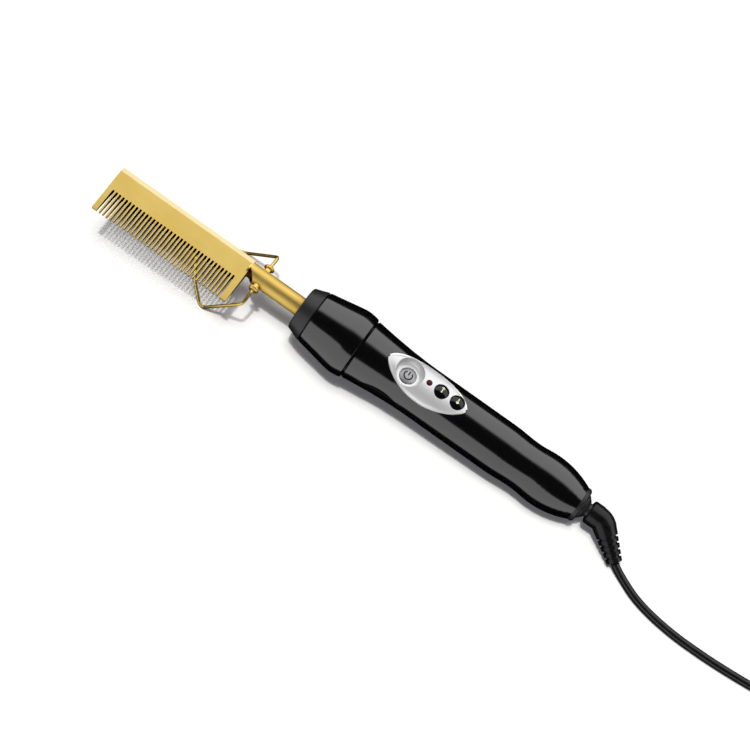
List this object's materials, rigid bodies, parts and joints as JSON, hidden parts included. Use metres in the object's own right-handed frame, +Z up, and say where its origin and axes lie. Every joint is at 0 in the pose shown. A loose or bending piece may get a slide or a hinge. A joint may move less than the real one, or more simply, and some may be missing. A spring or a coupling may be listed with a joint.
{
  "type": "hot comb",
  "caption": "Electric pressing comb: heated toothed comb on a tube with a folding wire stand, round grip with buttons, a swivel cord and a plug.",
  "frame": {"origin": "middle of the tool's box on the table, without the cord", "axes": "+X towards the cord end, +Y away from the teeth, +Z up; the tool lies on its stand and grip"},
  "size_m": [0.5938, 0.0739, 0.0421],
  "materials": {
    "gold_metal": "satin gold plate, softly brushed",
    "heater_steel": "plain steel",
    "sensor_brown": "coated bead",
    "ceramic": "matt heat-proof sleeve",
    "gloss_black": "polished",
    "satin_black": "satin, fine moulded grain",
    "inset_black": "satin ribs",
    "button_black": "polished dome",
    "silver_panel": "satin silver",
    "silver_button": "satin silver with a dark symbol",
    "red_lens": "clear dark red",
    "board_green": "solder mask",
    "chip_black": "moulded package",
    "connector_white": "moulded",
    "wire_white": "silicone insulation",
    "contact_brass": "plain",
    "cord_black": "smooth flexible sheath",
    "tie_grey": "woven strap",
    "plug_black": "moulded, satin",
    "blade_metal": "plain with a bright edge"
  },
  "bodies": {
    "root": {"comb_plate": "gold_metal", "heater_element": "heater_steel", "heat_sensor": "sensor_brown", "heater_leads": "wire_white", "sensor_leads": "wire_white", "stem_tube": "gold_metal", "near_stand_boss": "gold_metal", "far_stand_boss": "gold_metal", "insulating_sleeve": "ceramic", "stem_flange": "heater_steel", "front_ring": "satin_black", "nose_cone": "gloss_black", "upper_shell": "gloss_black", "lower_shell": "gloss_black", "shell_screws": "heater_steel", "near_grip_insert": "inset_black", "far_grip_insert": "inset_black", "control_panel": "silver_panel", "power_dish": "silver_panel", "led_lens": "red_lens", "circuit_board": "board_green", "tact_switches": "chip_black", "pilot_led": "red_lens", "control_chip": "chip_black", "triac": "chip_black", "lead_connector": "connector_white", "supply_leads": "wire_white", "swivel_socket": "satin_black", "contact_springs": "contact_brass", "end_ring": "satin_black", "cord_run": "cord_black", "cord_coil": "cord_black", "cord_tail": "cord_black", "cord_tie": "tie_grey", "plug_body": "plug_black", "plug_blades": "blade_metal"},
    "stand": {"stand_wire": "gold_metal"},
    "power": {"power_button": "silver_button"},
    "heat_up": {"heat_up_button": "button_black"},
    "heat_down": {"heat_down_button": "button_black"},
    "swivel": {"swivel_spindle": "satin_black", "slip_rings": "contact_brass", "cord_boot": "cord_black", "cord_lead": "cord_black"}
  },
  "joints": [
    {"name": "stand_fold", "type": "hinge", "parent": "root", "child": "stand", "pos_m": [-0.07303, 0.00064, 0.02726], "axis": [0, -1, 0], "range_deg": [0, 129]},
    {"name": "power_press", "type": "slide", "parent": "root", "child": "power", "axis": [-0.0648, 0, -0.9979], "range_m": [0, 0.0006], "stiffness_N_per_m": 600, "springref_m": -0.0006},
    {"name": "heat_up_press", "type": "slide", "parent": "root", "child": "heat_up", "axis": [-0.0648, 0, -0.9979], "range_m": [0, 0.0006], "stiffness_N_per_m": 600, "springref_m": -0.0006},
    {"name": "heat_down_press", "type": "slide", "parent": "root", "child": "heat_down", "axis": [-0.0648, 0, -0.9979], "range_m": [0, 0.0006], "stiffness_N_per_m": 600, "springref_m": -0.0006},
    {"name": "cord_swivel", "type": "hinge", "parent": "root", "child": "swivel", "pos_m": [0.13281, 0.00064, 0.01338], "axis": [0.9979, 0, -0.0648], "continuous": true}
  ]
}
